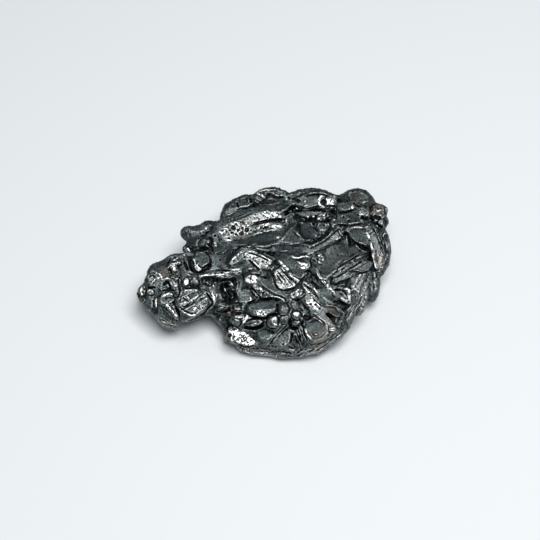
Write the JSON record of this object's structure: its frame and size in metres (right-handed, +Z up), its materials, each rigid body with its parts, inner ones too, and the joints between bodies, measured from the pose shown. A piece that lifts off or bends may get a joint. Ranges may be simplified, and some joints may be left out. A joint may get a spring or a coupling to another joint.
{
  "type": "iron meteorite",
  "caption": "Flattish natural lump of nickel iron with rounded lumps, folded ridges, furrows and hollows, lying on a small flat spot.",
  "frame": {"origin": "middle of the stone's outline seen from above, on the surface that it rests on", "axes": "+Z up; X along the stone, from its narrow head at -X to its broad end at +X; the picture looks along +Y and down"},
  "size_m": [0.0429, 0.0303, 0.0106],
  "materials": {
    "nickel_iron": "dark gunmetal nickel iron, polished bright on its crests, matte and nearly black in its furrows, with faint brown tints"
  },
  "bodies": {
    "root": {"meteorite": "nickel_iron"}
  },
  "joints": []
}
